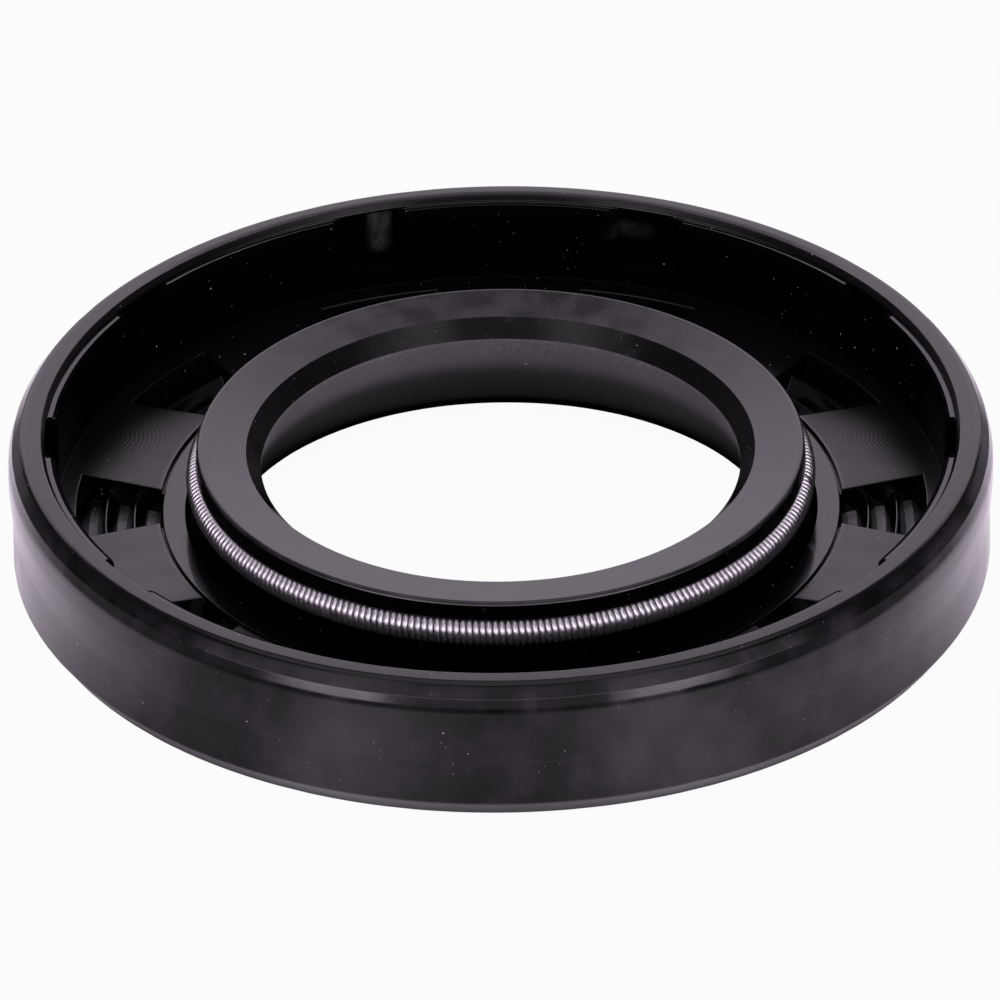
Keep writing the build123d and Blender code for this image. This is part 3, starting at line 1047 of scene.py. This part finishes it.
def lay_floor(look):
    """Pale floor that looks white to the camera and still holds the seal's shadow."""
    half, white_share = 2.0, 0.95
    mesh = bpy.data.meshes.new("floor")
    corners = [(half * x, half * y, 0) for x, y in ((-1, -1), (1, -1), (1, 1), (-1, 1))]
    mesh.from_pydata(corners, [], [(0, 1, 2, 3)])
    floor = bpy.data.objects.new("floor", mesh)
    floor.location.z = -0.01 * MM
    bpy.context.scene.collection.objects.link(floor)
    sheet = Sheet("floor_pale")
    sheet.finish(Base_Color=look.floor, Roughness=0.8)
    seen, mirrored = sheet.rays()
    bright, white = [
        sheet.node("ShaderNodeEmission", inputs={"Color": tone, "Strength": level})
        for tone, level in ((look.tint, look.floor_mirrored), (WHITE, 1.0))
    ]
    plain = Signal(sheet, sheet.shader.outputs["BSDF"])
    level = floor_level(sheet)
    mirror = sheet.node("ShaderNodeMixShader", inputs={0: level, 2: bright})
    plain = sheet.node("ShaderNodeMixShader", inputs={0: mirrored, 1: plain, 2: mirror})
    inputs = {0: seen * white_share, 1: plain, 2: white}
    mixed = sheet.node("ShaderNodeMixShader", inputs=inputs)
    sheet.feed(sheet.output.inputs["Surface"], mixed)
    mesh.materials.append(sheet.material)


def surround(look):
    """Studio round the seal: a lit screen behind it, a pale front and dim sides.

    Reflections see these, the camera sees white, and all else is lit evenly.
    """
    world = bpy.data.worlds.new("studio")
    bpy.context.scene.world = world
    sheet = NodeSheet(world)
    x, y, z = sheet.axes(sheet.node("ShaderNodeTexCoord", output="Generated"))
    side = sheet.math("ABSOLUTE", x.heading(y))
    height = sheet.math("ARCSINE", z)
    screen_edge, box_edge = radians(1.8, 9)

    screen = side.under(look.screen_half, screen_edge)
    screen = screen * height.under(look.screen_top, screen_edge)
    glow = height.band(*radians(26, 32, 9))
    screen = screen * (glow * 0.4 + 1.0) * look.screen

    ahead = side.ramp(*radians(98, 125)) * look.front
    lit = height.band(*radians(14, 26, 5)) * 3.8
    low = height.ramp(*radians(52, 42)) * 0.5
    ahead = ahead * (lit + low + 0.25)

    nearest, farthest = look.lamp_turn - look.box_half, look.lamp_turn + look.box_half
    box = side.band(nearest, farthest, box_edge)
    box = box * height.under(look.box_low, -box_edge)
    box = box * height.under(look.box_high, box_edge)
    fade = height.ramp(*radians(34, 8)) * 3.8 + 0.8
    ahead = box * (fade * look.box - ahead) + ahead

    above = (height - side * 0.05).ramp(*radians(50, 60)) * look.ceiling
    level = screen.greater(ahead).greater(above).greater(look.side)
    seen, glossy = sheet.rays()
    level = glossy * (level - look.ambient) + look.ambient
    level = seen * (1.0 - level) + level
    tone = sheet.mix(seen, look.tint, WHITE)
    light = sheet.node("ShaderNodeBackground", inputs={"Color": tone, "Strength": level})
    output = sheet.tree.nodes.new("ShaderNodeOutputWorld")
    sheet.feed(output.inputs["Surface"], light)


def hang_lamps(look):
    """Light of the two soft boxes, whose fronts are part of the surroundings."""
    for name, side in (("lamp_left", -1), ("lamp_right", 1)):
        lamp = bpy.data.lights.new(name, "AREA")
        lamp.shape = "SQUARE"
        lamp.size = look.lamp_size
        lamp.energy = look.lamp_watts
        holder = bpy.data.objects.new(name, lamp)
        flat = math.cos(look.lamp_height)
        across, back = side * flat * math.sin(look.lamp_turn), flat * math.cos(look.lamp_turn)
        place = Vector((across, back, math.sin(look.lamp_height)))
        holder.location = place * look.lamp_reach
        holder.rotation_euler = place.to_track_quat("Z", "Y").to_euler()
        holder.visible_glossy = False
        bpy.context.scene.collection.objects.link(holder)


def place_camera(look):
    """Long lens, aimed at a point on the seal's axis and rolled a little."""
    aim = Vector((look.aim_side, 0.0, look.aim_height))
    back = Vector((0.0, -math.cos(look.camera_height), math.sin(look.camera_height)))
    turn = Euler((math.pi / 2 - look.camera_height, 0.0, 0.0)).to_matrix()
    turn = turn @ Matrix.Rotation(look.camera_roll, 3, "Z")
    camera = bpy.data.cameras.new("camera")
    camera.sensor_width = 36.0
    camera.lens = look.image_scale * look.camera_distance * camera.sensor_width
    camera.clip_end = 100.0
    holder = bpy.data.objects.new("camera", camera)
    holder.matrix_world = Matrix.Translation(aim + back * look.camera_distance) @ turn.to_4x4()
    bpy.context.scene.collection.objects.link(holder)
    bpy.context.scene.camera = holder


# Operators


class SHAFTSEAL_OT_moulding(bpy.types.Operator):
    """Build the moulded rubber body"""

    bl_idname = "shaftseal.moulding"
    bl_label = "Rubber moulding"

    def execute(self, context):
        scene, looks = context.scene, context.scene.seal_rubber
        cover, trough, lip = scene.seal_cover, scene.seal_trough, scene.seal_lip
        section = Section(cover, trough, lip, scene.seal_spring.coil_diameter)
        mesh = grid_mesh("rubber_moulding", moulding_points(section), about_axis=True)
        materials = [moulded_skin(looks, trough)]
        for make in (trimmed_face, oil_bevel, air_side, trough_wall, pocket_floor):
            materials.append(make(looks))
        add_piece("rubber_moulding", mesh, "rubber_body", materials)
        mesh.polygons.foreach_set("material_index", section.zones(mesh))
        return {"FINISHED"}


class SHAFTSEAL_OT_case(bpy.types.Operator):
    """Give the covered case ring its steel"""

    bl_idname = "shaftseal.case"
    bl_label = "Case ring"

    def execute(self, context):
        materials = frame["nodes"]["case_ring"].data.materials
        materials.clear()
        materials.append(bonded_steel())
        return {"FINISHED"}


class SHAFTSEAL_OT_spring(bpy.types.Operator):
    """Wind the garter spring into its groove"""

    bl_idname = "shaftseal.spring"
    bl_label = "Garter spring"

    def execute(self, context):
        sizes = context.scene.seal_spring
        mesh = grid_mesh("garter_coil", spring_points(sizes), wraps_round=False)
        add_piece("garter_coil", mesh, "garter_spring", [drawn_wire(sizes)])
        return {"FINISHED"}


class SHAFTSEAL_OT_stage(bpy.types.Operator):
    """Lay the floor, light the seal and place the camera"""

    bl_idname = "shaftseal.stage"
    bl_label = "Stage"

    def execute(self, context):
        for step in (lay_floor, surround, hang_lamps, place_camera):
            step(context.scene.seal_stage)
        context.scene.view_settings.view_transform = "Standard"
        return {"FINISHED"}


class SHAFTSEAL_PT_panel(bpy.types.Panel):
    """Sidebar panel with each step and its sizes"""

    bl_idname = "SHAFTSEAL_PT_panel"
    bl_label = "Shaft Seal"
    bl_space_type = "VIEW_3D"
    bl_region_type = "UI"
    bl_category = "Shaft Seal"

    def draw(self, context):
        for operator, groups in STEPS:
            box = self.layout.box()
            box.operator(operator)
            for group in groups:
                settings = getattr(context.scene, group)
                for key in settings.__annotations__:
                    box.prop(settings, key)


STEPS = [
    ("shaftseal.moulding", ("seal_cover", "seal_trough", "seal_lip", "seal_rubber")),
    ("shaftseal.case", ()),
    ("shaftseal.spring", ("seal_spring",)),
    ("shaftseal.stage", ("seal_stage",)),
]
GROUPS = {
    "seal_cover": CoverSizes,
    "seal_trough": TroughSizes,
    "seal_lip": LipSizes,
    "seal_spring": SpringSizes,
    "seal_rubber": RubberFinish,
    "seal_stage": StageLook,
}
CLASSES = (
    *GROUPS.values(),
    SHAFTSEAL_OT_moulding,
    SHAFTSEAL_OT_case,
    SHAFTSEAL_OT_spring,
    SHAFTSEAL_OT_stage,
    SHAFTSEAL_PT_panel,
)


def register():
    """Register the classes and hang the settings on the scene."""
    for item in CLASSES:
        bpy.utils.register_class(item)
    for key, group in GROUPS.items():
        setattr(bpy.types.Scene, key, bpy.props.PointerProperty(type=group))


def unregister():
    """Take the settings and the classes away again."""
    for key in GROUPS:
        delattr(bpy.types.Scene, key)
    for item in reversed(CLASSES):
        bpy.utils.unregister_class(item)


def main():
    """Register the classes, then build every piece and the stage."""
    register()
    bpy.ops.shaftseal.moulding()
    bpy.ops.shaftseal.case()
    bpy.ops.shaftseal.spring()
    bpy.ops.shaftseal.stage()


if __name__ == "__main__":
    main()
